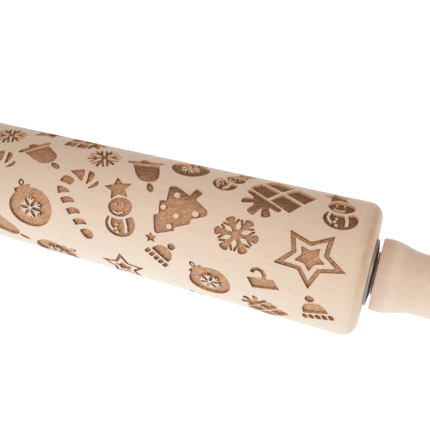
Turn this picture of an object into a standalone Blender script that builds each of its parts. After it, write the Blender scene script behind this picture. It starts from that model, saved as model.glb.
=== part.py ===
"""Rolling pin with an engraved barrel, two turned handles and a steel axle.

The pin lies along X, its right handle towards +X, with its barrel on the plane z = 0.
The barrel turns on nylon bearings, which sit in metal collars pressed into its ends.
Each handle is screwed onto the axle, so both handles turn with it.
The ornaments are cut into a flat board, the barrel's unrolled skin, which is then
wrapped round the barrel facet by facet and welded to its turned ends and bore.
"""

import math

import bmesh
import bpy
from mathutils import Matrix

# Clearances
SEAT_GAP = 0.0003
END_PLAY = 0.00025
RUNNING_CLEARANCE = 0.00012
MERGE_DISTANCE = 0.00001

# Barrel
BARREL_LENGTH = 0.250
BARREL_RADIUS = 0.030
BARREL_EDGE_RADIUS = 0.0065
BARREL_BORE_RADIUS = 0.0065
BORE_CHAMFER = 0.0008

# Engraving
ENGRAVING_DEPTH = 0.0012
SKIN_THICKNESS = 0.0040

# Collar, a flanged metal bush in each end of the barrel
COLLAR_RIM_RADIUS = 0.01475
COLLAR_RIM_THICKNESS = 0.0008
COLLAR_NOSE_RADIUS = 0.0104
COLLAR_NOSE_HEIGHT = 0.0007
COLLAR_SLEEVE_RADIUS = 0.0110
COLLAR_SLEEVE_LENGTH = 0.0160
COLLAR_LIP = 0.0012

# Bearing, a nylon sleeve in the collar
BEARING_RADIUS = 0.0076
BEARING_CHAMFER = 0.0005

# Washer between the collar and the handle
WASHER_RADIUS = 0.0096
WASHER_THICKNESS = 0.00057

# Axle
AXLE_RADIUS = 0.0040
THREAD_RADIUS = 0.0030
THREAD_LENGTH = 0.028
THREAD_CHAMFER = 0.0006

# Threaded insert in the handle
INSERT_RADIUS = 0.0050
INSERT_LENGTH = 0.0160
INSERT_FLANGE_RADIUS = 0.0070
INSERT_FLANGE_THICKNESS = 0.0010

# Handle, its stations measured from its face
HANDLE_LENGTH = 0.0871
HANDLE_FACE_RADIUS = 0.01575
HANDLE_BEAD_RADIUS = 0.01612
HANDLE_BEAD_AT = 0.0036
HANDLE_NECK_RADIUS = 0.01315
HANDLE_NECK_AT = 0.0180
HANDLE_GRIP_RADIUS = 0.0146
HANDLE_GRIP_AT = 0.052
HANDLE_TAIL_ROOM = 0.0020

# Facets, corners and steps
BARREL_FACETS = 32
FITTING_FACETS = 16
HANDLE_FACETS = 24
BALL_CORNERS = 12
HEAD_CORNERS = 9
HOLE_CORNERS = 4
BOBBLE_CORNERS = 6
EDGE_STEPS = 4
BEAD_STEPS = 2
NECK_STEPS = 5
GRIP_STEPS = 4
TIP_STEPS = 6
TIP_BLUNTNESS = 4.0
SHARP_ANGLE = math.radians(35.0)

# Ornaments of one repeat of the pattern: what is drawn, its place as a share of the straight length
# between the barrel's rounded ends and in degrees around it, its size as a share of the barrel's radius,
# and its turn in degrees
ORNAMENT_SHARES = (
    ("framed_star", 0.431, -51.2, 0.430, -29.5),
    ("snowflake", 0.297, -47.7, 0.273, 0.0),
    ("tree", 0.174, -41.1, 0.420, 152.5),
    ("snowman", 0.064, -49.7, 0.200, 16.0),
    ("cane", -0.036, -40.5, 0.333, 37.6),
    ("short_cane", -0.233, -39.3, 0.310, 37.6),
    ("bauble", -0.136, -70.1, 0.340, 31.0),
    ("bauble", 0.159, 9.5, 0.250, -4.0),
    ("bauble", 0.259, -96.1, 0.273, 45.0),
    ("bauble", -0.097, -121.0, 0.326, -52.0),
    ("bell", -0.178, -10.2, 0.227, -120.0),
    ("bell", 0.069, 2.1, 0.227, -152.0),
    ("bell", -0.239, -92.6, 0.227, -119.5),
    ("snowflake", -0.019, -2.0, 0.253, -2.0),
    ("snowflake", -0.253, 1.0, 0.253, 28.0),
    ("gift", 0.350, 1.7, 0.333, 150.0),
    ("gift", -0.102, 15.9, 0.225, -86.0),
    ("gift", 0.371, -115.5, 0.220, 50.0),
    ("hat", 0.156, -83.0, 0.227, -38.0),
    ("hat", 0.460, -99.0, 0.240, 22.0),
    ("tag", 0.359, -81.2, 0.200, 0.0),
    ("framed_star", 0.072, -110.8, 0.333, 2.0),
    ("snowman", 0.255, 6.7, 0.153, -23.0),
    ("snowman", 0.459, -0.6, 0.187, 12.0),
    ("star", -0.192, 21.4, 0.260, 6.5),
    ("star", 0.217, 49.0, 0.170, 12.0),
    ("bell", 0.439, 44.0, 0.180, 100.0),
    ("hat", -0.295, 38.0, 0.220, 20.0),
    ("tree", -0.369, -38.0, 0.360, 12.0),
    ("star", -0.386, -90.0, 0.270, 10.0),
    ("snowman", -0.460, -46.0, 0.190, -8.0),
    ("bell", -0.435, -125.0, 0.200, 38.0),
    ("gift", -0.364, 14.0, 0.250, 18.0),
    ("hat", -0.456, 6.0, 0.260, -12.0),
)
PATTERN_REPEATS = 2

# An ornament as large as the barrel's radius takes this share of the straight length
ALONG_SHARE = 0.152

# Radius of a cane's hook along its middle
CANE_HOOK_SHARE = 0.69

STRAIGHT_LENGTH = BARREL_LENGTH - 2 * BARREL_EDGE_RADIUS
AXIS_HEIGHT = BARREL_RADIUS * math.cos(math.pi / BARREL_FACETS)
COLLAR_REACH = SEAT_GAP + COLLAR_RIM_THICKNESS + COLLAR_NOSE_HEIGHT
WASHER_AT = COLLAR_REACH + END_PLAY
HANDLE_FACE_AT = WASHER_AT + WASHER_THICKNESS + END_PLAY
FACET_ANGLE = math.tau / BARREL_FACETS
FIRST_CORNER = -math.pi + FACET_ANGLE / 2


def clear_scene():
    """Remove what the scene holds at the start."""
    for obj in list(bpy.data.objects):
        bpy.data.objects.remove(obj)


def new_collection(name):
    """A collection under the scene's own."""
    collection = bpy.data.collections.new(name)
    bpy.context.scene.collection.children.link(collection)
    return collection


def make_material(name, color, roughness, metallic=0.0):
    """A Principled material of one colour."""
    material = bpy.data.materials.new(name)
    material.use_nodes = True
    shader = material.node_tree.nodes["Principled BSDF"]
    shader.inputs["Base Color"].default_value = (*color, 1.0)
    shader.inputs["Roughness"].default_value = roughness
    shader.inputs["Metallic"].default_value = metallic
    return material


def new_object(name, data):
    """An object in the scene's own collection."""
    obj = bpy.data.objects.new(name, data)
    bpy.context.scene.collection.objects.link(obj)
    return obj


def evaluated_mesh(obj):
    """A mesh of the object as its modifiers leave it."""
    graph = bpy.context.evaluated_depsgraph_get()
    return bpy.data.meshes.new_from_object(obj.evaluated_get(graph))


def shade(mesh):
    """Shade round sides smooth and keep edges crisp."""
    mesh.shade_smooth()
    mesh.set_sharp_from_angle(angle=SHARP_ANGLE)


def turned(name, outline, facets, closed):
    """Spin an outline of (radius, height) points about Z, down its outer side first."""
    mesh = bpy.data.meshes.new(name)
    bm = bmesh.new()
    verts = [bm.verts.new((radius, 0.0, height)) for radius, height in outline]
    for first, second in zip(verts, verts[1:]):
        bm.edges.new((first, second))
    if closed:
        bm.edges.new((verts[-1], verts[0]))
    bm.to_mesh(mesh)
    bm.free()
    obj = new_object(name, mesh)
    screw = obj.modifiers.new("Turn", "SCREW")
    screw.axis = "Z"
    screw.angle = math.tau
    screw.steps = facets
    screw.render_steps = facets
    screw.use_merge_vertices = True
    screw.merge_threshold = MERGE_DISTANCE
    obj.data = evaluated_mesh(obj)
    obj.modifiers.clear()
    shade(obj.data)
    return obj


def place(obj, side, parent, collection, material):
    """Lay a turned piece along X at one end of the barrel, or at its middle for side 0."""
    bpy.context.scene.collection.objects.unlink(obj)
    collection.objects.link(obj)
    obj.parent = parent
    obj.location = (side * BARREL_LENGTH / 2, 0.0, 0.0)
    obj.rotation_euler = (0.0, math.copysign(math.pi / 2, side), 0.0)
    obj.data.materials.clear()
    obj.data.materials.append(material)


def arc(centre, radius, start, stop, steps):
    """Points of an arc in the outline's plane, its ends included."""
    angles = [start + (stop - start) * step / steps for step in range(steps + 1)]
    return [
        (centre[0] + radius * math.cos(angle), centre[1] + radius * math.sin(angle))
        for angle in angles
    ]


def barrel_outline():
    """Outline of the barrel from one end of its skin round its end, bore and other end."""
    top = BARREL_LENGTH / 2
    edge = (BARREL_RADIUS - BARREL_EDGE_RADIUS, top - BARREL_EDGE_RADIUS)
    seat_radius = COLLAR_SLEEVE_RADIUS + SEAT_GAP
    seat_depth = COLLAR_SLEEVE_LENGTH + SEAT_GAP
    upper = arc(edge, BARREL_EDGE_RADIUS, 0.0, math.pi / 2, EDGE_STEPS)
    upper += [
        (seat_radius, top),
        (seat_radius, top - seat_depth),
        (BARREL_BORE_RADIUS + BORE_CHAMFER, top - seat_depth),
        (BARREL_BORE_RADIUS, top - seat_depth - BORE_CHAMFER),
    ]
    lower = [(radius, -height) for radius, height in upper]
    return lower + upper[::-1]


def collar_outline():
    """Section of a collar: sleeve in the barrel, flat rim on its end, shallow cone outside."""
    rim_back = SEAT_GAP
    rim_front = rim_back + COLLAR_RIM_THICKNESS
    nose = rim_front + COLLAR_NOSE_HEIGHT
    sleeve_end = rim_back - COLLAR_SLEEVE_LENGTH
    bore = BEARING_RADIUS + SEAT_GAP
    lip_bore = bore - COLLAR_LIP
    return [
        (COLLAR_NOSE_RADIUS, nose),
        (COLLAR_RIM_RADIUS, rim_front),
        (COLLAR_RIM_RADIUS, rim_back),
        (COLLAR_SLEEVE_RADIUS, rim_back),
        (COLLAR_SLEEVE_RADIUS, sleeve_end),
        (lip_bore, sleeve_end),
        (lip_bore, sleeve_end + COLLAR_LIP),
        (bore, sleeve_end + COLLAR_LIP),
        (bore, nose),
    ]


def bearing_outline():
    """Section of a bearing sleeve, from the collar's inner lip to its nose."""
    top = COLLAR_REACH
    bottom = SEAT_GAP - COLLAR_SLEEVE_LENGTH + COLLAR_LIP + SEAT_GAP
    bore = AXLE_RADIUS + RUNNING_CLEARANCE
    return [
        (BEARING_RADIUS - BEARING_CHAMFER, top),
        (BEARING_RADIUS, top - BEARING_CHAMFER),
        (BEARING_RADIUS, bottom + BEARING_CHAMFER),
        (BEARING_RADIUS - BEARING_CHAMFER, bottom),
        (bore, bottom),
        (bore, top),
    ]


def washer_outline():
    """Section of the washer that the handle runs on."""
    bore = AXLE_RADIUS + RUNNING_CLEARANCE
    return [
        (WASHER_RADIUS, WASHER_AT + WASHER_THICKNESS),
        (WASHER_RADIUS, WASHER_AT),
        (bore, WASHER_AT),
        (bore, WASHER_AT + WASHER_THICKNESS),
    ]


def axle_outline():
    """Half outline of the axle: plain between its shoulders, threaded at each end."""
    shoulder = BARREL_LENGTH / 2 + HANDLE_FACE_AT - SEAT_GAP
    end = shoulder + THREAD_LENGTH
    upper = [
        (0.0, end),
        (THREAD_RADIUS - THREAD_CHAMFER, end),
        (THREAD_RADIUS, end - THREAD_CHAMFER),
        (THREAD_RADIUS, shoulder),
        (AXLE_RADIUS, shoulder),
    ]
    lower = [(radius, -height) for radius, height in reversed(upper)]
    return upper + lower


def insert_outline():
    """Section of the threaded insert, its flange flush with the handle's face."""
    face = HANDLE_FACE_AT
    end = face + INSERT_LENGTH
    flange = face + INSERT_FLANGE_THICKNESS
    bore = THREAD_RADIUS + SEAT_GAP
    return [
        (bore, end),
        (INSERT_RADIUS - THREAD_CHAMFER, end),
        (INSERT_RADIUS, end - THREAD_CHAMFER),
        (INSERT_RADIUS, flange),
        (INSERT_FLANGE_RADIUS, flange),
        (INSERT_FLANGE_RADIUS, face),
        (bore, face),
    ]


def ease(start, stop, steps):
    """Points of a smooth S curve from one (radius, height) to the next, its start left out."""
    points = []
    for step in range(1, steps + 1):
        share = step / steps
        blend = (1.0 - math.cos(math.pi * share)) / 2.0
        radius = start[0] + (stop[0] - start[0]) * blend
        points.append((radius, start[1] + (stop[1] - start[1]) * share))
    return points


def handle_outline():
    """Outline of a handle from its rounded tip down to its face, then up its bore."""
    face = HANDLE_FACE_AT
    grip = (HANDLE_GRIP_RADIUS, face + HANDLE_GRIP_AT)
    neck = (HANDLE_NECK_RADIUS, face + HANDLE_NECK_AT)
    bead = (HANDLE_BEAD_RADIUS, face + HANDLE_BEAD_AT)
    tip_length = HANDLE_LENGTH - HANDLE_GRIP_AT
    outline = []
    for step in range(TIP_STEPS + 1):
        turn = math.pi / 2 * step / TIP_STEPS
        radius = grip[0] * math.sin(turn)
        height = grip[1] + tip_length * math.cos(turn) ** (2.0 / TIP_BLUNTNESS)
        outline.append((radius, height))
    outline += ease(grip, neck, GRIP_STEPS)
    outline += ease(neck, bead, NECK_STEPS)
    for step in range(1, BEAD_STEPS + 1):
        drop = step / BEAD_STEPS
        radius = bead[0] - (bead[0] - HANDLE_FACE_RADIUS) * drop * drop
        outline.append((radius, bead[1] - HANDLE_BEAD_AT * drop))
    flange_bore = INSERT_FLANGE_RADIUS + SEAT_GAP
    flange_end = face + INSERT_FLANGE_THICKNESS + SEAT_GAP
    insert_bore = INSERT_RADIUS + SEAT_GAP
    insert_end = face + INSERT_LENGTH + SEAT_GAP
    tail_bore = THREAD_RADIUS + SEAT_GAP
    tail_end = face + THREAD_LENGTH + HANDLE_TAIL_ROOM
    outline += [
        (flange_bore, face),
        (flange_bore, flange_end),
        (insert_bore, flange_end),
        (insert_bore, insert_end),
        (tail_bore, insert_end),
        (tail_bore, tail_end),
        (0.0, tail_end + tail_bore * math.tan(math.radians(30.0))),
    ]
    return outline


def oval(width_share, height_share, corners, at_share=0.0):
    """A round or oval unit outline, read from its top towards the left, its centre at a height."""
    angles = [math.pi / 2 + math.tau * index / corners for index in range(corners)]
    return [(width_share * math.cos(angle), at_share + height_share * math.sin(angle)) for angle in angles]


def star(tip_share, notch_share, tips=5, at_share=0.0):
    """A star with one tip up, its centre at a height."""
    points = []
    for index in range(2 * tips):
        angle = math.pi / 2 + math.pi * index / tips
        radius = notch_share if index % 2 else tip_share
        points.append((radius * math.cos(angle), at_share + radius * math.sin(angle)))
    return points


def mirrored(half_shares):
    """A closed outline from its right half, read from the top down."""
    return list(half_shares) + [(-x, y) for x, y in reversed(half_shares) if x > 0.0]


def rectangle(left, right, bottom, top):
    """A rectangle between its sides."""
    return [(left, bottom), (right, bottom), (right, top), (left, top)]


def rotated(points, angle):
    """Points turned about the origin."""
    cos, sin = math.cos(angle), math.sin(angle)
    return [(x * cos - y * sin, x * sin + y * cos) for x, y in points]


def draw_star():
    """A plain star."""
    return [star(tip_share=1.0, notch_share=0.46)]


def draw_framed_star():
    """A star inside the outline of a larger one."""
    star_shares = ((1.0, 0.51), (0.74, 0.385), (0.41, 0.21))
    return [star(tip, notch) for tip, notch in star_shares]


def draw_snowflake():
    """Six arms that widen outwards and meet in the middle."""
    arm_shares = ((0.52, -0.12), (0.94, -0.26), (0.94, 0.26), (0.52, 0.12))
    notch_shares = ((0.22, 0.0),)
    points = []
    for arm in range(6):
        points += rotated(arm_shares, math.tau * arm / 6)
        points += rotated(notch_shares, math.tau * (arm + 0.5) / 6)
    return [points]


def draw_tree():
    """A fir tree with balls left standing in it and a star over its top."""
    half_shares = (
        (0.05, 1.0), (0.42, 0.53), (0.32, 0.43), (0.64, 0.02), (0.49, -0.10), (0.81, -0.55),
        (0.70, -0.73), (0.14, -0.73), (0.14, -1.09),
    )
    ball_share = 0.11
    ball_place_shares = ((0.39, -0.47), (-0.12, 0.10), (-0.48, -0.37), (-0.16, 0.53))
    loops = [mirrored(half_shares), star(tip_share=0.20, notch_share=0.09, at_share=1.25)]
    for across, up in ball_place_shares:
        ball = oval(ball_share, ball_share, HOLE_CORNERS, up)
        loops.append([(x + across, y) for x, y in ball])
    return loops


def draw_snowman():
    """A snowman of two snowballs under a star."""
    throat_shares = ((0.70, -0.60), (0.0, -0.87), (-0.70, -0.60))
    shoulder = throat_shares[0][1]
    belly = oval(width_share=1.04, height_share=0.96, corners=BALL_CORNERS, at_share=-1.22)
    return [
        oval(width_share=0.82, height_share=0.66, corners=HEAD_CORNERS),
        [point for point in belly if point[1] < shoulder] + list(throat_shares),
        star(tip_share=0.92, notch_share=0.42, at_share=1.50),
    ]


def draw_bell():
    """A bell on a hanger, its rim slightly aslant."""
    half_shares = (
        (0.0, 2.78), (0.17, 2.45), (0.06, 1.98), (0.34, 1.92), (0.62, 1.55), (0.76, 0.20),
        (1.06, 0.12), (0.98, -0.20), (0.27, -0.20), (0.17, -0.44),
    )
    lean_share = 0.19
    return [[(x, y - lean_share * x) for x, y in mirrored(half_shares)]]


def draw_bauble():
    """A tree ball under its cap, with a star left standing in it."""
    shoulder_share = 0.80
    cap_shares = ((0.20, 1.36), (0.34, 0.90))
    ball = oval(width_share=1.0, height_share=1.0, corners=BALL_CORNERS)[1:]
    return [
        [(x, min(y, shoulder_share)) for x, y in ball],
        star(tip_share=0.52, notch_share=0.20, tips=4),
        mirrored(cap_shares),
    ]


def draw_gift():
    """A parcel tied crosswise, with a bow of five loops on its lid."""
    block_shares = (
        (-1.0, -0.10, -0.74, -0.06), (0.10, 1.0, -0.74, -0.06), (-1.0, -0.10, 0.06, 0.66),
        (0.10, 1.0, 0.06, 0.66), (-0.72, 0.68, 0.76, 0.88),
    )
    bow_shares = (
        (0.80, 0.93), (0.80, 1.11), (0.30, 1.17), (0.66, 1.42), (0.54, 1.58), (0.15, 1.33), (0.13, 1.70),
        (-0.07, 1.70), (-0.09, 1.33), (-0.46, 1.56), (-0.59, 1.41), (-0.24, 1.17), (-0.74, 1.11),
        (-0.74, 0.93),
    )
    return [rectangle(*sides) for sides in block_shares] + [list(bow_shares)]


def cane_place(along, reach):
    """A point of a cane at a distance along it, measured from where its shaft meets its hook."""
    turn = math.pi - max(along, 0.0) / CANE_HOOK_SHARE
    return (reach * math.cos(turn), reach * math.sin(turn) + min(along, 0.0))


def draw_cane(shaft_stripes=3):
    """A hooked cane, its stripes cut and the bands between them left standing."""
    spacing_share = 0.55
    tip_shares = ((-0.94, 0.02), (-0.56, -0.06), (-0.43, -0.27), (-0.60, -0.55), (-0.92, -0.47))
    tip_at = -0.16 - spacing_share * shaft_stripes
    loops = [[(x, y + tip_at) for x, y in tip_shares]]
    # Each stripe's outer and inner reach, then its near edge and its far edge, each where it meets the
    # cane's outer and inner side
    stripe_shares = [
        (0.95, 0.43, at - 0.29, at - 0.46, at, at - 0.24)
        for at in [-0.16 - spacing_share * stripe for stripe in range(shaft_stripes)]
    ]
    stripe_shares += [
        (0.95, 0.44, 0.05, -0.10, 0.33, 0.07),
        (0.90, 0.36, 0.52, 0.45, 0.75, 1.01),
        (0.96, 0.33, 1.03, 1.42, 1.46, 1.63),
        (0.96, 0.34, 1.65, 2.05, 1.82, 2.18),
        (0.87, 0.40, 2.19, 2.48, 2.32, 2.56),
    ]
    for outer, inner, near_outer, near_inner, far_outer, far_inner in stripe_shares:
        loops.append([
            cane_place(near_outer, outer),
            cane_place(near_inner, inner),
            cane_place(far_inner, inner),
            cane_place(far_outer, outer),
        ])
    return loops


def draw_short_cane():
    """A cane with a short shaft."""
    return draw_cane(shaft_stripes=1)


def draw_hat():
    """A knitted hat with a turned-up brim and a bobble."""
    dome_shares = ((0.34, 0.80), (0.58, 0.46), (0.62, 0.06))
    brim_shares = ((0.80, -0.08), (0.80, -0.42))
    bobble = oval(width_share=0.22, height_share=0.22, corners=BOBBLE_CORNERS, at_share=1.10)
    return [mirrored(dome_shares), mirrored(brim_shares), bobble]


def draw_tag():
    """A gift tag with a loop of string."""
    outline_shares = (
        (-0.97, 0.18), (-0.57, -0.62), (1.06, -0.22), (0.62, 0.45), (0.06, 0.38), (0.10, 0.72),
        (-0.16, 1.0), (-0.52, 1.02), (-0.76, 0.78), (-0.70, 0.50), (-0.46, 0.62), (-0.20, 0.66),
        (-0.16, 0.34),
    )
    return [list(outline_shares)]


DRAWINGS = {
    "star": draw_star,
    "framed_star": draw_framed_star,
    "snowflake": draw_snowflake,
    "tree": draw_tree,
    "snowman": draw_snowman,
    "bell": draw_bell,
    "bauble": draw_bauble,
    "gift": draw_gift,
    "cane": draw_cane,
    "short_cane": draw_short_cane,
    "hat": draw_hat,
    "tag": draw_tag,
}


def ornament_outlines():
    """Every outline to cut, in metres on the unrolled barrel, with copies across its seam."""
    outlines = []
    for kind, along_share, angle, size_share, turn in ORNAMENT_SHARES:
        width = size_share * ALONG_SHARE * STRAIGHT_LENGTH
        height = size_share * BARREL_RADIUS
        for repeat in range(-PATTERN_REPEATS, PATTERN_REPEATS + 1):
            centre = math.radians(angle) + math.tau * repeat / PATTERN_REPEATS
            for unit in DRAWINGS[kind]():
                points = rotated(unit, math.radians(turn))
                outlines.append([
                    (along_share * STRAIGHT_LENGTH + x * width, centre * BARREL_RADIUS + y * height)
                    for x, y in points
                ])
    return outlines


def make_cutter(bottom, top):
    """The ornaments between two heights of the board, as prisms through its top."""
    curve = bpy.data.curves.new("ornaments", "CURVE")
    curve.dimensions = "2D"
    curve.fill_mode = "BOTH"
    curve.extrude = ENGRAVING_DEPTH
    for outline in ornament_outlines():
        heights = [y for _, y in outline]
        if max(heights) < bottom or min(heights) > top:
            continue
        spline = curve.splines.new("POLY")
        spline.points.add(len(outline) - 1)
        for point, (x, y) in zip(spline.points, outline):
            point.co = (x, y, 0.0, 1.0)
        spline.use_cyclic_u = True
    drawing = new_object("ornaments", curve)
    mesh = evaluated_mesh(drawing)
    bpy.data.objects.remove(drawing)
    bm = bmesh.new()
    bm.from_mesh(mesh)
    bmesh.ops.remove_doubles(bm, verts=bm.verts, dist=MERGE_DISTANCE)
    bmesh.ops.recalc_face_normals(bm, faces=bm.faces)
    bm.to_mesh(mesh)
    bm.free()
    return new_object("ornaments", mesh)


def score(bm):
    """Cut a flat board along the lines where it will be bent."""
    for corner in range(1, BARREL_FACETS):
        bmesh.ops.bisect_plane(
            bm,
            geom=bm.verts[:] + bm.edges[:] + bm.faces[:],
            dist=MERGE_DISTANCE,
            plane_co=(0.0, (FIRST_CORNER + corner * FACET_ANGLE) * BARREL_RADIUS, 0.0),
            plane_no=(0.0, 1.0, 0.0),
        )


def join_floors(bm):
    """Join the triangles of each ornament's floor, so that a bend adds no more corners than it needs."""
    floors = {face for face in bm.faces if abs(face.calc_center_median().z + ENGRAVING_DEPTH) < MERGE_DISTANCE}
    inner = [edge for edge in bm.edges if all(face in floors for face in edge.link_faces)]
    bmesh.ops.dissolve_limit(bm, angle_limit=math.radians(1.0), edges=inner)


def engraved_board():
    """The barrel's unrolled skin with its ornaments cut, as a mesh without ends, seam or underside."""
    bottom = FIRST_CORNER * BARREL_RADIUS
    top = bottom + math.tau * BARREL_RADIUS
    bm = bmesh.new()
    bmesh.ops.create_cube(bm, size=1.0)
    bmesh.ops.scale(bm, verts=bm.verts, vec=(STRAIGHT_LENGTH, top - bottom, SKIN_THICKNESS))
    bmesh.ops.translate(bm, verts=bm.verts, vec=(0.0, (bottom + top) / 2, -SKIN_THICKNESS / 2))
    score(bm)
    mesh = bpy.data.meshes.new("board")
    bm.to_mesh(mesh)
    bm.free()
    board = new_object("board", mesh)
    cutter = make_cutter(bottom, top)
    cut = board.modifiers.new("Engrave", "BOOLEAN")
    cut.operation = "DIFFERENCE"
    cut.solver = "EXACT"
    cut.object = cutter
    bm = bmesh.new()
    bm.from_mesh(evaluated_mesh(board))
    bpy.data.objects.remove(board)
    bpy.data.objects.remove(cutter)
    join_floors(bm)
    score(bm)
    inside = []
    for face in bm.faces:
        centre = face.calc_center_median()
        at_end = abs(centre.x) > STRAIGHT_LENGTH / 2 - MERGE_DISTANCE
        at_seam = not bottom + MERGE_DISTANCE < centre.y < top - MERGE_DISTANCE
        if at_end or at_seam or centre.z < MERGE_DISTANCE - SKIN_THICKNESS:
            inside.append(face)
    bmesh.ops.delete(bm, geom=inside, context="FACES")
    return bm


def wrap(bm):
    """Bend a scored board round Z, its width along Z, each strip becoming a flat facet."""
    for vert in bm.verts:
        along, around, depth = vert.co
        place_on_ring = (around / BARREL_RADIUS - FIRST_CORNER) / FACET_ANGLE
        strip = min(max(math.floor(place_on_ring), 0), BARREL_FACETS - 1)
        share = place_on_ring - strip
        radius = BARREL_RADIUS + depth
        first = FIRST_CORNER + strip * FACET_ANGLE
        second = first + FACET_ANGLE
        vert.co = (
            -radius * (math.cos(first) * (1.0 - share) + math.cos(second) * share),
            radius * (math.sin(first) * (1.0 - share) + math.sin(second) * share),
            along,
        )


def make_barrel():
    """The barrel: turned ends and bore, closed by the engraved skin between its rounded ends."""
    barrel = turned("barrel", barrel_outline(), BARREL_FACETS, closed=False)
    bm = bmesh.new()
    bm.from_mesh(barrel.data)
    bmesh.ops.rotate(bm, verts=bm.verts, matrix=half_facet_turn())
    skin = engraved_board()
    wrap(skin)
    mesh = bpy.data.meshes.new("skin")
    skin.to_mesh(mesh)
    skin.free()
    bm.from_mesh(mesh)
    bmesh.ops.remove_doubles(bm, verts=bm.verts, dist=MERGE_DISTANCE)
    bmesh.ops.recalc_face_normals(bm, faces=bm.faces)
    bm.to_mesh(barrel.data)
    bm.free()
    shade(barrel.data)
    return barrel


def half_facet_turn():
    """A turn about Z that lays a facet, not a corner, underneath."""
    return Matrix.Rotation(FACET_ANGLE / 2, 3, "Z")


def main():
    """Build every piece of the pin."""
    clear_scene()
    pin = new_collection("rolling_pin")
    beech = make_material("beech", (0.76, 0.58, 0.43), 0.55)
    collar_steel = make_material("collar_steel", (0.52, 0.48, 0.48), 0.35, 1.0)
    bright_steel = make_material("bright_steel", (0.60, 0.60, 0.62), 0.30, 1.0)
    brass = make_material("brass", (0.78, 0.60, 0.32), 0.35, 1.0)
    nylon = make_material("nylon", (0.80, 0.79, 0.74), 0.50)

    frames = []
    for name in ("barrel_frame", "axle_frame"):
        frame = bpy.data.objects.new(name, None)
        frame.location = (0.0, 0.0, AXIS_HEIGHT)
        pin.objects.link(frame)
        frames.append(frame)
    fixed, turning = frames

    place(make_barrel(), 0, fixed, pin, beech)
    axle = turned("axle", axle_outline(), FITTING_FACETS, closed=False)
    place(axle, 0, turning, pin, bright_steel)
    for label, side in (("left", -1), ("right", 1)):
        pieces = (
            ("collar", collar_outline(), FITTING_FACETS, True, fixed, collar_steel),
            ("bearing", bearing_outline(), FITTING_FACETS, True, fixed, nylon),
            ("washer", washer_outline(), FITTING_FACETS, True, turning, bright_steel),
            ("insert", insert_outline(), FITTING_FACETS, True, turning, brass),
            ("handle", handle_outline(), HANDLE_FACETS, False, turning, beech),
        )
        for kind, outline, facets, closed, frame, material in pieces:
            piece = turned(f"{label}_{kind}", outline, facets, closed)
            place(piece, side, frame, pin, material)


main()
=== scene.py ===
"""The looks of the engraved rolling pin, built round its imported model.

The barrel's skin is made flat, its ornaments are cut into it, and it is bent round the pin's axis and
welded to the turned ends. The handles, collars and washers are turned finer than the solids they stand for.
Lengths are in metres. The pin's axis runs along X, and its underside is at zero height.
"""

import math

import bmesh
import bpy
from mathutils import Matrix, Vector


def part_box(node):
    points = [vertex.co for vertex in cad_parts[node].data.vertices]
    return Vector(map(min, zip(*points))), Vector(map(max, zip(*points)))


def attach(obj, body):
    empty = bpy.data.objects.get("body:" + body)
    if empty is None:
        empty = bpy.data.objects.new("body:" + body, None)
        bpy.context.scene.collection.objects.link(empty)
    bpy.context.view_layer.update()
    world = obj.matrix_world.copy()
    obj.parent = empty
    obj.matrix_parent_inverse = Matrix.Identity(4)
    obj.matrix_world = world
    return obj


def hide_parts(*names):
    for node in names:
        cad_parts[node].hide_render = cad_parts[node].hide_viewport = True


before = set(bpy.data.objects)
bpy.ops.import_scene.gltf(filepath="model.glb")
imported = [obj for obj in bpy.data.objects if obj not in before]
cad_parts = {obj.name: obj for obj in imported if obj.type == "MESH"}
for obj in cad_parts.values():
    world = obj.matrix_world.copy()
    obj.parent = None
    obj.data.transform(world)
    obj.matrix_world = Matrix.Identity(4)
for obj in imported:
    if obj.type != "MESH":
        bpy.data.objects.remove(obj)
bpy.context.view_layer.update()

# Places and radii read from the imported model
BARREL_LOW, BARREL_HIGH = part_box("barrel")
BARREL_END = BARREL_HIGH.x
AXIS_HEIGHT = (BARREL_LOW.z + BARREL_HIGH.z) / 2
BARREL_RADIUS = (BARREL_HIGH.z - BARREL_LOW.z) / 2
COLLAR_LOW, COLLAR_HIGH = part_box("right_collar")
WASHER_LOW, WASHER_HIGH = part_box("right_washer")
HANDLE_LOW, HANDLE_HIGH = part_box("right_handle")

# Barrel: its rounded edges, the seats of its collars, its bore, and its facets
EDGE_RADIUS = 0.0065
SEAT_RADIUS = 0.0113
SEAT_DEPTH = 0.0163
BORE_RADIUS = 0.0065
STRAIGHT_END = BARREL_END - EDGE_RADIUS
STRAIGHT_LENGTH = 2 * STRAIGHT_END
STRIPS = 120
STRIP_ANGLE = math.tau / STRIPS
END_STEPS = 10

# Engraving: its depth, its corners, the laser's lines, and the painted light and shade on its walls and
# floors: the side the light comes from, the reach of the shade in its corners and the tilt of the crest's
# light and shade
ENGRAVING_DEPTH = 0.0012
SKIN_THICKNESS = 0.0040
CORNER_SHARE = 0.07
LONGEST_CORNER_SHARE = 0.45
LASER_SLANT = math.radians(-40.0)
LASER_PITCH = 0.0011
LIGHT_SIDE_DIRECTION = (-0.60, -0.75, -0.20)
CORNER_SHADE_REACH = 0.0008
CREST_TILT = 0.8
FLOOR_RELIEF = 0.0002
WALL_RELIEF = 0.0001

# Distance within which points are joined, angle up to which faces lie flat, and angle that stays sharp
WELD = 0.00001
FLAT_ANGLE = math.radians(1.0)
SHARP_ANGLE = math.radians(32.0)

# Beech: offset to its log's middle, growth rings in radians to the metre, the place along the pin of its
# painted pool of light, how far from there the painted shade starts and is full, the tint of that shade,
# and its colours
PITH_OFFSET = (0.0, 0.055, 0.035)
RING_PHASE = 2100.0
LIGHT_POOL_AT = 0.032
LIGHT_POOL_REACH = 0.025
FULL_SHADE_REACH = 0.090
PAINTED_SHADE_TINT = (0.945, 0.93, 0.895, 1.0)
FIBRE_RELIEF = 0.00006
BARREL_PALE = (0.80, 0.585, 0.445, 1.0)
BARREL_ROSY = (0.745, 0.53, 0.39, 1.0)
HANDLE_PALE = (0.80, 0.585, 0.455, 1.0)
HANDLE_ROSY = (0.71, 0.49, 0.37, 1.0)

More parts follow.
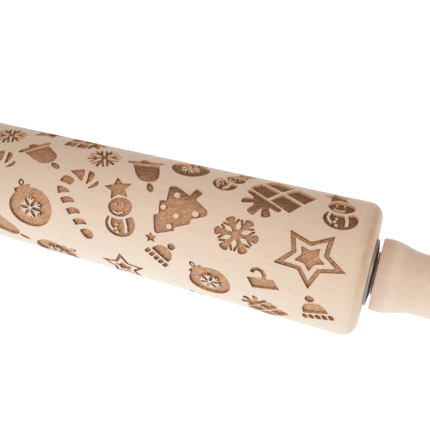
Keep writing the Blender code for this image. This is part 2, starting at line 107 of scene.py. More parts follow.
# Bands of the turned wood: tint, distance inwards from the barrel's end face, and reach to both sides
BARREL_BANDS = (
    ((0.745, 0.525, 0.38, 1.0), 0.0085, 0.0042),
    ((0.65, 0.41, 0.27, 1.0), 0.0008, 0.0052),
    ((0.56, 0.32, 0.18, 1.0), 0.0014, 0.0018),
)
HANDLE_BANDS = (
    ((0.66, 0.46, 0.34, 1.0), -0.0046, 0.0050),
    ((0.38, 0.18, 0.08, 1.0), -0.0029, 0.0008),
    ((0.84, 0.63, 0.47, 1.0), -0.0105, 0.0030),
    ((0.75, 0.53, 0.38, 1.0), -0.0165, 0.0032),
    ((0.82, 0.61, 0.45, 1.0), -0.0240, 0.0040),
)

# How far the bands' edges waver and how far inwards they lean at the pin's top, and the heights between
# which the bands grow from a share of their strength to all of it
BAND_WAVER = 0.0014
BAND_LEAN = 0.0008
LOW_BAND_SHARE = 0.28
LOW_BAND_HEIGHT = 1.2 * AXIS_HEIGHT
FULL_BAND_HEIGHT = 1.9 * AXIS_HEIGHT

# Collar, and what all turned metal shares
COLLAR_RIM_RADIUS = (COLLAR_HIGH.y - COLLAR_LOW.y) / 2
COLLAR_NOSE_RADIUS = 0.0104
COLLAR_NOSE_HEIGHT = 0.0007
COLLAR_SLEEVE_RADIUS = 0.0110
COLLAR_BORE_RADIUS = 0.0079
COLLAR_LIP = 0.0012
METAL_BEVEL = 0.00012
# How far past the barrel's end a collar's rim keeps its own colour, before its painted reflection
BRIGHT_RIM = 0.00045
TURNING_RELIEF = 0.00001
TURNING_LINES = 3000.0

# Washer and bearing
WASHER_RADIUS = (WASHER_HIGH.y - WASHER_LOW.y) / 2
WASHER_BORE_RADIUS = 0.00412
NYLON_RELIEF = 0.00002

# Handle, its places along X measured from its face
HANDLE_FACE_RADIUS = 0.01575
HANDLE_BEAD_RADIUS = 0.01612
HANDLE_BEAD_AT = 0.0036
HANDLE_NECK_RADIUS = 0.01315
HANDLE_NECK_AT = 0.0180
HANDLE_GRIP_RADIUS = 0.0146
HANDLE_GRIP_AT = 0.052
HANDLE_BORE_RADIUS = 0.0073
HANDLE_BORE_DEPTH = 0.0013
INSERT_BORE_RADIUS = 0.0053
INSERT_BORE_DEPTH = 0.0163
TIP_BLUNTNESS = 4.0
TIP_STEPS = 24
CURVE_STEPS = 16
BEAD_STEPS = 6
TURNING_STEPS = 96

# Ornaments of one repeat of the pattern: what is drawn, its place as a share of the straight length
# and in degrees around the barrel, its size as a share of the barrel's radius, and its turn in degrees
ORNAMENT_SHARES = (
    ("framed_star", 0.431, -51.2, 0.430, -29.5),
    ("broad_snowflake", 0.297, -47.7, 0.273, 0.0),
    ("tree", 0.174, -41.1, 0.420, 152.5),
    ("snowman", 0.064, -49.7, 0.200, 16.0),
    ("cane", -0.036, -40.5, 0.333, 37.6),
    ("short_cane", -0.233, -39.3, 0.310, 37.6),
    ("bauble", -0.136, -70.1, 0.340, 31.0),
    ("bauble", 0.159, 9.5, 0.250, -4.0),
    ("bauble", 0.259, -96.1, 0.273, 45.0),
    ("bauble", -0.097, -121.0, 0.326, -52.0),
    ("bell", -0.178, -10.2, 0.227, -120.0),
    ("bell", 0.069, 2.1, 0.227, -152.0),
    ("bell", -0.239, -92.6, 0.227, -119.5),
    ("fine_snowflake", -0.019, -3.2, 0.253, 28.0),
    ("fine_snowflake", -0.256, -0.2, 0.253, 28.0),
    ("gift", 0.350, 1.7, 0.333, 150.0),
    ("gift", -0.102, 15.9, 0.225, -86.0),
    ("gift", 0.371, -115.5, 0.220, 50.0),
    ("hat", 0.156, -83.0, 0.227, -38.0),
    ("hat", 0.460, -99.0, 0.240, 22.0),
    ("tag", 0.359, -81.2, 0.200, 0.0),
    ("framed_star", 0.072, -110.8, 0.333, 2.0),
    ("snowman", 0.255, 6.7, 0.153, -23.0),
    ("snowman", 0.459, -0.6, 0.187, 12.0),
    ("star", -0.192, 21.4, 0.260, 6.5),
    ("star", 0.217, 49.0, 0.170, 12.0),
    ("bell", 0.439, 44.0, 0.180, 100.0),
    ("hat", -0.295, 38.0, 0.220, 20.0),
    ("tree", -0.369, -38.0, 0.360, 12.0),
    ("star", -0.386, -90.0, 0.270, 10.0),
    ("snowman", -0.460, -46.0, 0.190, -8.0),
    ("bell", -0.435, -125.0, 0.200, 38.0),
    ("gift", -0.364, 14.0, 0.250, 18.0),
    ("hat", -0.456, 6.0, 0.260, -12.0),
)
PATTERN_REPEATS = 2

# An ornament as large as the barrel's radius takes this share of the straight length
ALONG_SHARE = 0.152

# Radius of a cane's hook along its middle
CANE_HOOK_SHARE = 0.69

# Camera
CAMERA_PLACE = (0.13037, -0.18985, AXIS_HEIGHT + 0.15868)
CAMERA_DEPRESSION = 35.8217
CAMERA_TURN = 22.4955
CAMERA_LENS = 45.3566
CAMERA_SENSOR = 36.0

# Soft lights: name, place, colour, width, height and power
SOFTBOXES = (
    ("left_softbox", (-1.60, -1.16, 0.32), (1.0, 0.95, 0.86), 0.9, 0.5, 2.3),
    ("right_softbox", (0.20, -0.37, 0.41), (0.98, 0.97, 0.92), 0.4, 0.14, 0.76),
)

# Strength of the white surround, level and overhead, and the floor's half width and its glow on the pin
LEVEL_SURROUND = 0.76
OVERHEAD_SURROUND = 0.53
FLOOR_HALF = 6.0
FLOOR_GLOW = (1.15, 1.44, 1.66, 1.0)


def oval(width, height, corners, across=0.0, up=0.0):
    """A round or oval outline, read from its top towards the left."""
    angles = [math.pi / 2 + math.tau * index / corners for index in range(corners)]
    return [(across + width * math.cos(angle), up + height * math.sin(angle)) for angle in angles]


def star(tip, notch, across=0.0, up=0.0):
    """A five-pointed star with one tip up."""
    tips = 5
    points = []
    for index in range(2 * tips):
        angle = math.pi / 2 + math.pi * index / tips
        radius = notch if index % 2 else tip
        points.append((across + radius * math.cos(angle), up + radius * math.sin(angle)))
    return points


def mirrored(half):
    """A closed outline from its right half, read from the top down."""
    return list(half) + [(-x, y) for x, y in reversed(half) if x > 0.0]


def turned_round(points, angle):
    """Points turned about the origin."""
    cos, sin = math.cos(angle), math.sin(angle)
    return [(x * cos - y * sin, x * sin + y * cos) for x, y in points]


def snowflake(half_arm, notch, size=1.0):
    """Six equal arms from the upper half of one, which points along +X."""
    arm = [(x, -y) for x, y in half_arm] + list(reversed(half_arm))
    points = []
    for index in range(6):
        points += turned_round(arm, math.tau * index / 6)
        points += turned_round([(notch, 0.0)], math.tau * (index + 0.5) / 6)
    return [(size * x, size * y) for x, y in points]


def rounded(points, reach=CORNER_SHARE, steps=3):
    """An outline with each corner eased into a short curve, which starts at a reach from it."""
    eased = []
    for index, corner in enumerate(points):
        corner = Vector(corner)
        before = Vector(points[index - 1]) - corner
        after = Vector(points[(index + 1) % len(points)]) - corner
        first = corner + before * min(LONGEST_CORNER_SHARE, reach / before.length)
        last = corner + after * min(LONGEST_CORNER_SHARE, reach / after.length)
        for step in range(steps + 1):
            share = step / steps
            point = first.lerp(corner, share).lerp(corner.lerp(last, share), share)
            eased.append(tuple(point))
    return eased


def sides_of(path, half_width):
    """The left and the right side of a band along a path."""
    left, right = [], []
    for index, point in enumerate(path):
        before = Vector(path[max(index - 1, 0)])
        after = Vector(path[min(index + 1, len(path) - 1)])
        across = (after - before).normalized().orthogonal() * half_width
        left.append(tuple(Vector(point) + across))
        right.append(tuple(Vector(point) - across))
    return left, right


def band(path, half_width):
    """A band of even width along a path, its ends rounded."""
    left, right = sides_of(path, half_width)
    return rounded(left + right[::-1], half_width)


def notched(line, path, half_width):
    """A line read from left to right, cut away where a band runs down along a path from it."""
    right, left = sides_of(path, half_width)
    before = [point for point in line if point[0] < left[0][0]]
    after = [point for point in line if point[0] > right[0][0]]
    return before + left + right[::-1] + after


def block(left, right, low, high):
    """A rectangle, read round from its lower left corner."""
    return [(left, low), (right, low), (right, high), (left, high)]


def reach_in_oval(point, width, height, across=0.0, up=0.0):
    """How far out a point lies in an oval, as a share of the way to its edge."""
    return math.hypot((point[0] - across) / width, (point[1] - up) / height)


def draw_star():
    """A plain star."""
    return [rounded(star(1.0, 0.46))]


def draw_framed_star():
    """A star inside the outline of a larger one."""
    frame_shares = ((1.0, 0.51), (0.71, 0.368))
    loops = [rounded(star(tip, notch), CORNER_SHARE / 2) for tip, notch in frame_shares]
    return loops + [rounded(star(0.435, 0.225))]


def draw_broad_snowflake():
    """A snowflake of six thick arms, each with a pair of side branches."""
    arm_shares = (
        (0.45, 0.10), (0.62, 0.33), (0.73, 0.41), (0.81, 0.35), (0.61, 0.11), (0.82, 0.22), (0.92, 0.22),
        (1.0, 0.09),
    )
    return [rounded(snowflake(arm_shares, notch=0.20))]


def draw_fine_snowflake():
    """A snowflake of six arms, each with a pair of side branches and a thin tip."""
    arm_shares = ((0.27, 0.07), (0.77, 0.39), (0.88, 0.32), (0.58, 0.10), (0.93, 0.08))
    return [rounded(snowflake(arm_shares, notch=0.17), CORNER_SHARE / 2)]


def draw_tree():
    """A fir tree with balls left standing in it and a star over its top."""
    tree_shares = (
        (0.11, -0.73), (0.18, -1.09), (-0.12, -1.09), (-0.14, -0.74), (-0.70, -0.68), (-0.79, -0.56),
        (-0.77, -0.45), (-0.52, -0.11), (-0.63, 0.01), (-0.34, 0.44), (-0.42, 0.53), (-0.05, 1.0),
        (0.04, 0.99), (0.43, 0.54), (0.32, 0.42), (0.64, 0.03), (0.47, -0.10), (0.80, -0.54),
        (0.81, -0.65), (0.63, -0.74),
    )
    ball_shares = (
        (0.39, -0.47, 0.10), (0.38, 0.14, 0.09), (-0.12, 0.10, 0.09), (-0.50, -0.35, 0.11),
        (-0.20, 0.53, 0.09),
    )
    loops = [rounded(tree_shares), rounded(star(0.20, 0.10, up=1.24), CORNER_SHARE / 2)]
    loops += [oval(radius, radius, 16, across, up) for across, up, radius in ball_shares]
    return loops


def draw_snowman():
    """A snowman under a star, his scarf ends, buttons and plain smile left standing."""
    head_shares = {"width": 0.83, "height": 0.73, "up": 0.08}
    body_shares = {"width": 1.06, "height": 0.97, "across": -0.12, "up": -1.21}
    throat_shares = {"width": 1.03, "height": 0.85}
    left_scarf_shares = [(-0.72, -0.62), (-0.87, -1.08), (-0.81, -1.40), (-0.66, -1.62)]
    right_scarf_shares = [(0.21, -0.84), (0.27, -1.40), (0.20, -1.86)]
    button_shares = ((-0.36, -1.22, 0.09), (-0.47, -1.50, 0.10), (-0.40, -1.82, 0.10))
    smile_shares = [(-0.50, -0.18), (-0.36, -0.34), (-0.16, -0.40), (0.04, -0.38), (0.18, -0.27)]
    eye_shares = ((-0.28, 0.30, 0.065), (0.20, 0.30, 0.065))
    # The body's outline runs round below the throat's line and back along it, with clean corners between
    corner_share = 0.03
    body = oval(corners=48, **body_shares)
    throat = oval(corners=48, **throat_shares)
    below = [point for point in body if reach_in_oval(point, **throat_shares) > 1.0 + corner_share]
    above = [point for point in throat if reach_in_oval(point, **body_shares) < 1.0 - corner_share]
    above = notched(above, left_scarf_shares, 0.08)
    above = notched(above, right_scarf_shares, 0.10)
    loops = [
        oval(corners=36, **head_shares),
        below + above[::-1],
        rounded(turned_round(star(1.0, 0.49, across=0.015, up=1.55), math.radians(6.0))),
        band(smile_shares, 0.055),
    ]
    loops += [oval(radius, radius, 12, across, up) for across, up, radius in button_shares]
    loops += [oval(radius, radius, 10, across, up) for across, up, radius in eye_shares]
    return loops


def draw_bell():
    """A bell with its hanger, its rim under a thin ridge and slightly aslant."""
    body_shares = ((0.20, 1.96), (0.42, 1.84), (0.60, 1.58), (0.70, 1.12), (0.73, 0.60), (0.80, 0.19))
    rim_shares = ((0.96, 0.13), (1.08, 0.00), (0.98, -0.20), (0.27, -0.20), (0.20, -0.38), (0.10, -0.46))
    hanger_shares = ((0.0, 2.82), (0.13, 2.69), (0.21, 2.47), (0.16, 2.24), (0.07, 2.03))
    lean_share = 0.19
    loops = [rounded(mirrored(half)) for half in (body_shares, rim_shares, hanger_shares)]
    return [[(x, y - lean_share * x) for x, y in loop] for loop in loops]


def draw_bauble():
    """A tree ball joined to its cap and ring, the ring's hole and a snowflake left standing in it."""
    arm_shares = ((0.34, 0.04), (0.60, 0.18), (0.78, 0.30), (0.86, 0.21), (0.66, 0.05), (0.95, 0.045))
    cap_half_share = 0.46
    cap_right_shares = [(0.40, 0.88), (0.42, 1.05)]
    cap_left_shares = [(-0.35, 1.07), (-0.37, 0.89)]
    ring_across_share = 0.06
    ring_up_share = 1.235
    ball = [(x, y) for x, y in oval(1.02, 0.95, 64) if abs(x) > cap_half_share or y < 0.0]
    ring_steps = 14
    ring = []
    for step in range(ring_steps + 1):
        angle = math.radians(-60.0 + 300.0 * step / ring_steps)
        ring.append((ring_across_share + 0.13 * math.cos(angle), ring_up_share + 0.17 * math.sin(angle)))
    return [
        ball + cap_right_shares + ring + cap_left_shares,
        oval(0.05, 0.09, 12, ring_across_share, ring_up_share - 0.02),
        snowflake(arm_shares, notch=0.09, size=0.56),
    ]


def draw_gift():
    """A parcel tied crosswise, with a bow of five loops that stands on it."""
    column_shares = ((-1.0, -0.055), (0.055, 1.0))
    row_shares = ((-0.76, -0.055), (0.045, 0.71))
    bow_shares = (
        (0.90, 0.76), (0.90, 0.98), (0.38, 1.04), (0.71, 1.33), (0.55, 1.61), (0.17, 1.22), (0.14, 1.74),
        (-0.22, 1.74), (-0.15, 1.22), (-0.48, 1.60), (-0.70, 1.31), (-0.30, 1.04), (-0.73, 0.98),
        (-0.73, 0.76),
    )
    loops = [rounded(block(*column, *row)) for row in row_shares for column in column_shares]
    return loops + [rounded(bow_shares, 0.11)]


def cane_place(along, reach):
    """A point of the cane, so far along it from the foot of its hook, at a reach from its bend's centre."""
    turn = math.pi - max(along, 0.0) / CANE_HOOK_SHARE
    return (reach * math.cos(turn), reach * math.sin(turn) + min(along, 0.0))


def draw_cane(shaft_stripes=3):
    """A hooked cane, its leaf-shaped stripes cut and the bands between them left standing."""
    steps = 6
    first_share, spacing_share = -0.16, 0.55
    tip_shares = (
        (-0.94, 0.02), (-0.70, 0.01), (-0.52, -0.09), (-0.43, -0.27), (-0.49, -0.46), (-0.68, -0.57),
        (-0.88, -0.52), (-0.95, -0.35),
    )
    tip_at = first_share - spacing_share * shaft_stripes
    loops = [rounded([(x, y + tip_at) for x, y in tip_shares], 0.10)]
    # Each stripe's outer and inner reach, then its near edge and its far edge, each where it meets the
    # cane's outer and inner side
    stripe_shares = []
    for stripe in range(shaft_stripes):
        at = first_share - spacing_share * stripe
        stripe_shares.append((0.95, 0.43, at - 0.29, at - 0.46, at, at - 0.24))
    stripe_shares += [
        (0.95, 0.44, 0.05, -0.10, 0.33, 0.07),
        (0.90, 0.36, 0.52, 0.45, 0.75, 1.01),
        (0.96, 0.33, 1.03, 1.42, 1.46, 1.63),
        (0.96, 0.34, 1.65, 2.05, 1.82, 2.18),
        (0.87, 0.40, 2.19, 2.48, 2.32, 2.56),
    ]
    for outer, inner, near_outer, near_inner, far_outer, far_inner in stripe_shares:
        # The far edge bends late where it falls back on its way inwards, and early where it runs on
        swell = 3.0 if far_inner < far_outer else 0.6
        near_edge, far_edge = [], []
        for step in range(steps + 1):
            share = step / steps
            reach = outer + (inner - outer) * share
            near_edge.append(cane_place(near_outer + (near_inner - near_outer) * share ** 2, reach))
            far_edge.append(cane_place(far_outer + (far_inner - far_outer) * share ** swell, reach))
        loops.append(rounded(near_edge + far_edge[::-1], CORNER_SHARE / 2, steps=2))
    return loops


def draw_short_cane():
    """A cane with a short shaft."""
    return draw_cane(shaft_stripes=1)


def draw_hat():
    """A knitted hat with a ribbed turned-up brim and a bobble."""
    dome_shares = ((0.20, 0.88), (0.42, 0.76), (0.58, 0.50), (0.64, 0.10))
    brim_half_share, brim_drop_share, gap_share = 0.80, 0.42, 0.07
    ribs = 5
    spacing = (2 * brim_half_share + gap_share) / ribs
    loops = [rounded(mirrored(dome_shares)), oval(0.23, 0.23, 20, up=1.16)]
    for rib in range(ribs):
        left = -brim_half_share + rib * spacing
        loops.append(rounded(block(left, left + spacing - gap_share, -brim_drop_share, 0.0), 0.09))
    return loops


def draw_tag():
    """A gift tag with a bent string."""
    string_shares = [(0.06, 0.36), (0.06, 0.62), (-0.10, 0.86), (-0.38, 0.98), (-0.62, 0.86), (-0.70, 0.62)]
    plate_shares = [(-0.97, 0.18), (-0.57, -0.62), (1.06, -0.22), (0.62, 0.45)]
    inner, outer = sides_of(string_shares, 0.13)
    return [rounded(plate_shares + outer + inner[::-1], 0.05)]


DRAWINGS = {
    "star": draw_star,
    "framed_star": draw_framed_star,
    "broad_snowflake": draw_broad_snowflake,
    "fine_snowflake": draw_fine_snowflake,
    "tree": draw_tree,
    "snowman": draw_snowman,
    "bell": draw_bell,
    "bauble": draw_bauble,
    "gift": draw_gift,
    "cane": draw_cane,
    "short_cane": draw_short_cane,
    "hat": draw_hat,
    "tag": draw_tag,
}


def ornament_outlines():
    """Every outline to cut, in metres on the unrolled barrel, with copies across its seam."""
    outlines = []
    for kind, along_share, angle, size_share, turn in ORNAMENT_SHARES:
        width = size_share * ALONG_SHARE * STRAIGHT_LENGTH
        height = size_share * BARREL_RADIUS
        drawing = DRAWINGS[kind]()
        for repeat in range(-PATTERN_REPEATS, PATTERN_REPEATS + 1):
            centre = math.radians(angle) + math.tau * repeat / PATTERN_REPEATS
            for loop in drawing:
                points = turned_round(loop, math.radians(turn))
                outlines.append([
                    (along_share * STRAIGHT_LENGTH + x * width, centre * BARREL_RADIUS + y * height)
                    for x, y in points
                ])
    return outlines


def new_object(name, data):
    """An object at the origin in the scene's own collection."""
    obj = bpy.data.objects.new(name, data)
    bpy.context.scene.collection.objects.link(obj)
    return obj


def evaluated_mesh(obj):
    """A mesh of the object as its modifiers leave it."""
    graph = bpy.context.evaluated_depsgraph_get()
    return bpy.data.meshes.new_from_object(obj.evaluated_get(graph))


def make_cutter(half_height):
    """The ornaments that reach the flat skin, as prisms through its top."""
    curve = bpy.data.curves.new("ornaments", "CURVE")
    curve.dimensions = "2D"
    curve.fill_mode = "BOTH"
    curve.extrude = ENGRAVING_DEPTH
    for outline in ornament_outlines():
        heights = [y for _, y in outline]
        if max(heights) < -half_height or min(heights) > half_height:
            continue
        spline = curve.splines.new("POLY")
        spline.points.add(len(outline) - 1)
        for point, (x, y) in zip(spline.points, outline):
            point.co = (x, y, 0.0, 1.0)
        spline.use_cyclic_u = True
    drawing = new_object("ornaments", curve)
    mesh = evaluated_mesh(drawing)
    bpy.data.objects.remove(drawing)
    bm = bmesh.new()
    bm.from_mesh(mesh)
    bmesh.ops.remove_doubles(bm, verts=bm.verts, dist=WELD / 2)
    bmesh.ops.recalc_face_normals(bm, faces=bm.faces)
    bm.to_mesh(mesh)
    bm.free()
    return new_object("ornaments", mesh)


def score(bm):
    """Cut the flat skin along the lines where it will be bent."""
    for corner in range(1, STRIPS):
        bmesh.ops.bisect_plane(
            bm,
            geom=bm.verts[:] + bm.edges[:] + bm.faces[:],
            dist=WELD / 10,
            plane_co=(0.0, (corner * STRIP_ANGLE - math.pi) * BARREL_RADIUS, 0.0),
            plane_no=(0.0, 1.0, 0.0),
        )


def flat_board(half_height):
    """The barrel's unrolled skin as a plain board, scored for bending."""
    bm = bmesh.new()
    bmesh.ops.create_cube(bm, size=1.0)
    bmesh.ops.scale(bm, verts=bm.verts, vec=(STRAIGHT_LENGTH, 2 * half_height, SKIN_THICKNESS))
    bmesh.ops.translate(bm, verts=bm.verts, vec=(0.0, 0.0, -SKIN_THICKNESS / 2))
    score(bm)
    mesh = bpy.data.meshes.new("skin")
    bm.to_mesh(mesh)
    bm.free()
    return new_object("skin", mesh)


def flat_skin():
    """The board with its ornaments cut, without its ends, seam and underside."""
    half_height = math.pi * BARREL_RADIUS
    skin = flat_board(half_height)
    cutter = make_cutter(half_height)
    cut = skin.modifiers.new("Engrave", "BOOLEAN")
    cut.operation = "DIFFERENCE"
    cut.solver = "EXACT"
    cut.object = cutter
    bm = bmesh.new()
    bm.from_mesh(evaluated_mesh(skin))
    bpy.data.objects.remove(skin)
    bpy.data.objects.remove(cutter)
    floors = {face for face in bm.faces if abs(face.calc_center_median().z + ENGRAVING_DEPTH) < WELD}
    inner = [edge for edge in bm.edges if all(face in floors for face in edge.link_faces)]
    bmesh.ops.dissolve_limit(bm, angle_limit=FLAT_ANGLE, edges=inner)
    score(bm)
    spare = []
    for face in bm.faces:
        centre = face.calc_center_median()
        at_end = abs(centre.x) > STRAIGHT_END - WELD
        at_seam = abs(centre.y) > half_height - WELD
        if at_end or at_seam or centre.z < WELD - SKIN_THICKNESS:
            spare.append(face)
    bmesh.ops.delete(bm, geom=spare, context="FACES")
    return bm


# Places of the finishes among the barrel's materials
LAND, FLOOR, WALL = range(3)


def sort_finishes(bm):
    """Give each face of the flat skin the finish of sanded land, engraved floor or engraved wall."""
    for face in bm.faces:
        if abs(face.normal.z) < 0.5:
            face.material_index = WALL
        elif face.calc_center_median().z < -ENGRAVING_DEPTH / 2:
            face.material_index = FLOOR
        else:
            face.material_index = LAND


def bend(bm):
    """Bend the scored skin round the pin's axis, each strip becoming a flat facet."""
    for vert in bm.verts:
        along, around, depth = vert.co
        place = (around / BARREL_RADIUS + math.pi) / STRIP_ANGLE
        strip = min(max(math.floor(place), 0), STRIPS - 1)
        first = strip * STRIP_ANGLE - math.pi
        second = first + STRIP_ANGLE
        share = place - strip
        radius = BARREL_RADIUS + depth
        vert.co = (
            along,
            radius * (math.sin(first) * (1.0 - share) + math.sin(second) * share),
            radius * (math.cos(first) * (1.0 - share) + math.cos(second) * share),
        )


def arc(centre, radius, start, stop, steps):
    """Points of an arc of an outline of (place along X, radius), its ends included."""
    along, out = centre
    angles = [start + (stop - start) * step / steps for step in range(steps + 1)]
    return [(along + radius * math.cos(angle), out + radius * math.sin(angle)) for angle in angles]


def spun(outline, steps, closed):
    """A bmesh of an outline of (place along X, radius) points spun round X from its underside."""
    bm = bmesh.new()
    verts = [bm.verts.new((along, 0.0, -radius)) for along, radius in outline]
    edges = [bm.edges.new(pair) for pair in zip(verts, verts[1:])]
    if closed:
        edges.append(bm.edges.new((verts[-1], verts[0])))
    bmesh.ops.spin(
        bm,
        geom=verts + edges,
        cent=(0.0, 0.0, 0.0),
        axis=(1.0, 0.0, 0.0),
        dvec=(0.0, 0.0, 0.0),
        angle=math.tau,
        steps=steps,
        use_merge=True,
    )
    bmesh.ops.remove_doubles(bm, verts=bm.verts, dist=WELD)
    bmesh.ops.recalc_face_normals(bm, faces=bm.faces)
    return bm


def finished(name, bm, materials, body, node):
    """Put a piece at the pin's height as an object that stands for a node of the model."""
    bmesh.ops.translate(bm, verts=bm.verts, vec=(0.0, 0.0, AXIS_HEIGHT))
    mesh = bpy.data.meshes.new(name)
    bm.to_mesh(mesh)
    bm.free()
    mesh.shade_smooth()
    mesh.set_sharp_from_angle(angle=SHARP_ANGLE)
    for material in materials:
        mesh.materials.append(material)
    obj = new_object(name, mesh)
    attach(obj, body)
    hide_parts(node)
    return obj


def barrel_ends():
    """Outline of the barrel from one end of its skin round its end, bore and other end."""
    centre = (STRAIGHT_END, BARREL_RADIUS - EDGE_RADIUS)
    right = arc(centre, EDGE_RADIUS, math.pi / 2, 0.0, END_STEPS)
    right += [
        (BARREL_END, SEAT_RADIUS),
        (BARREL_END - SEAT_DEPTH, SEAT_RADIUS),
        (BARREL_END - SEAT_DEPTH, BORE_RADIUS),
    ]
    left = [(-along, radius) for along, radius in right]
    return left + right[::-1]


def round_normals(mesh):
    """Shade the bent skin as a true cylinder; the rest keeps its own normals."""
    normals = [Vector((0.0, 0.0, 0.0))] * len(mesh.loops)
    for face in mesh.polygons:
        centre = face.center
        outside = math.hypot(centre.y, centre.z - AXIS_HEIGHT) > BARREL_RADIUS - 2 * ENGRAVING_DEPTH
        if face.material_index == WALL or not outside or abs(centre.x) > STRAIGHT_END:
            continue
        for loop in face.loop_indices:
            place = mesh.vertices[mesh.loops[loop].vertex_index].co
            normals[loop] = Vector((0.0, place.y, place.z - AXIS_HEIGHT)).normalized()
    mesh.normals_split_custom_set(normals)


def make_barrel(materials):
    """The barrel: turned ends and bore, closed by the engraved skin; materials of land, floor and wall."""
    bm = spun(barrel_ends(), STRIPS, closed=False)
    skin = flat_skin()
    sort_finishes(skin)
    bend(skin)
    mesh = bpy.data.meshes.new("bent_skin")
    skin.to_mesh(mesh)
    skin.free()
    bm.from_mesh(mesh)
    bpy.data.meshes.remove(mesh)
    bmesh.ops.remove_doubles(bm, verts=bm.verts, dist=WELD / 2)
    bmesh.ops.recalc_face_normals(bm, faces=bm.faces)
    barrel = finished("engraved_barrel", bm, materials, "barrel", "barrel")
    round_normals(barrel.data)


def ease(start, stop, steps):
    """Points of a smooth S curve from one (place, radius) to the next, its start left out."""
    points = []
    for step in range(1, steps + 1):
        share = step / steps
        blend = (1.0 - math.cos(math.pi * share)) / 2.0
        points.append((start[0] + (stop[0] - start[0]) * share, start[1] + (stop[1] - start[1]) * blend))
    return points


def handle_outline():
    """Outline of a handle from its rounded tip to its face and into its bore."""
    face = HANDLE_LOW.x
    tip_length = HANDLE_HIGH.x - face - HANDLE_GRIP_AT
    outline = []
    for step in range(TIP_STEPS + 1):
        turn = math.pi / 2 * step / TIP_STEPS
        along = HANDLE_GRIP_AT + tip_length * math.cos(turn) ** (2.0 / TIP_BLUNTNESS)
        outline.append((along, HANDLE_GRIP_RADIUS * math.sin(turn)))
    outline += ease(outline[-1], (HANDLE_NECK_AT, HANDLE_NECK_RADIUS), CURVE_STEPS)
    outline += ease(outline[-1], (HANDLE_BEAD_AT, HANDLE_BEAD_RADIUS), CURVE_STEPS)
    for step in range(1, BEAD_STEPS + 1):
        drop = step / BEAD_STEPS
        radius = HANDLE_BEAD_RADIUS - (HANDLE_BEAD_RADIUS - HANDLE_FACE_RADIUS) * drop * drop
        outline.append((HANDLE_BEAD_AT * (1.0 - drop), radius))
    outline += [
        (0.0, HANDLE_BORE_RADIUS),
        (HANDLE_BORE_DEPTH, HANDLE_BORE_RADIUS),
        (HANDLE_BORE_DEPTH, INSERT_BORE_RADIUS),
        (INSERT_BORE_DEPTH, INSERT_BORE_RADIUS),
        (INSERT_BORE_DEPTH, 0.0),
    ]
    return [(along + face, radius) for along, radius in outline]


def collar_outline():
    """Section of a collar: sleeve in the barrel, flat rim on its end, shallow cone outside."""
    nose = COLLAR_HIGH.x
    rim_front = nose - COLLAR_NOSE_HEIGHT
    rim_back = BARREL_END + METAL_BEVEL / 4
    sleeve_end = COLLAR_LOW.x
    bevel = METAL_BEVEL
    return [
        (nose, COLLAR_BORE_RADIUS + bevel),
        (nose, COLLAR_NOSE_RADIUS - bevel),
        (nose - bevel / 2, COLLAR_NOSE_RADIUS),
        (rim_front, COLLAR_RIM_RADIUS - bevel),
        (rim_front - bevel, COLLAR_RIM_RADIUS),
        (rim_back + bevel, COLLAR_RIM_RADIUS),
        (rim_back, COLLAR_RIM_RADIUS - bevel),
        (rim_back, COLLAR_SLEEVE_RADIUS),
        (sleeve_end, COLLAR_SLEEVE_RADIUS),
        (sleeve_end, COLLAR_BORE_RADIUS - COLLAR_LIP),
        (sleeve_end + COLLAR_LIP, COLLAR_BORE_RADIUS - COLLAR_LIP),
        (sleeve_end + COLLAR_LIP, COLLAR_BORE_RADIUS),
        (nose - bevel, COLLAR_BORE_RADIUS),
    ]


def washer_outline():
    """Section of the washer between a collar's nose and a handle's face."""
    near, far, bevel = WASHER_LOW.x, WASHER_HIGH.x, METAL_BEVEL
    return [
        (far, WASHER_BORE_RADIUS),
        (far, WASHER_RADIUS - bevel),
        (far - bevel, WASHER_RADIUS),
        (near + bevel, WASHER_RADIUS),
        (near, WASHER_RADIUS - bevel),
        (near, WASHER_BORE_RADIUS),
    ]


def on_side(outline, side):
    """An outline at the right end of the pin, or mirrored to its left end."""
    return [(side * along, radius) for along, radius in outline]


def add_node(tree, kind, inputs=None, **settings):
    """A shader node; an input that is given a socket is linked to it."""
    made = tree.nodes.new(kind)
    for name, value in settings.items():
        setattr(made, name, value)
    for key, value in (inputs or {}).items():
        if isinstance(value, bpy.types.NodeSocket):
            tree.links.new(value, made.inputs[key])
        else:
            made.inputs[key].default_value = value
    return made


def new_group(name, inputs, outputs):
    """A node group with named inputs and outputs, and its tree's input and output nodes."""
    tree = bpy.data.node_groups.new(name, "ShaderNodeTree")
    for socket_name, kind, value in inputs:
        socket = tree.interface.new_socket(socket_name, in_out="INPUT", socket_type=kind)
        socket.default_value = value
    for socket_name, kind in outputs:
        tree.interface.new_socket(socket_name, in_out="OUTPUT", socket_type=kind)
    return tree, tree.nodes.new("NodeGroupInput"), tree.nodes.new("NodeGroupOutput")


def place_group(tree, group, inputs=None):
    """A group placed in a material with its own values."""
    made = tree.nodes.new("ShaderNodeGroup")
    made.node_tree = group
    for key, value in (inputs or {}).items():
        made.inputs[key].default_value = value
    return made


def math_node(tree, operation, first, second=0.0, third=0.0):
    """The result of one arithmetic step."""
    inputs = {0: first, 1: second, 2: third}
    return add_node(tree, "ShaderNodeMath", inputs, operation=operation).outputs[0]


def weighted_sum(tree, *terms):
    """The sum of some values, each times its weight."""
    total = 0.0
    for value, weight in terms:
        total = math_node(tree, "MULTIPLY_ADD", value, weight, total)
    return total


def vector_node(tree, operation, *vectors):
    """A node of vector arithmetic."""
    return add_node(tree, "ShaderNodeVectorMath", dict(enumerate(vectors)), operation=operation)


def remap(tree, value, low, high, to_low=0.0, to_high=1.0):
    """A value mapped from one range to another, clamped."""
    inputs = {"Value": value, "From Min": low, "From Max": high, "To Min": to_low, "To Max": to_high}
    return add_node(tree, "ShaderNodeMapRange", inputs).outputs[0]


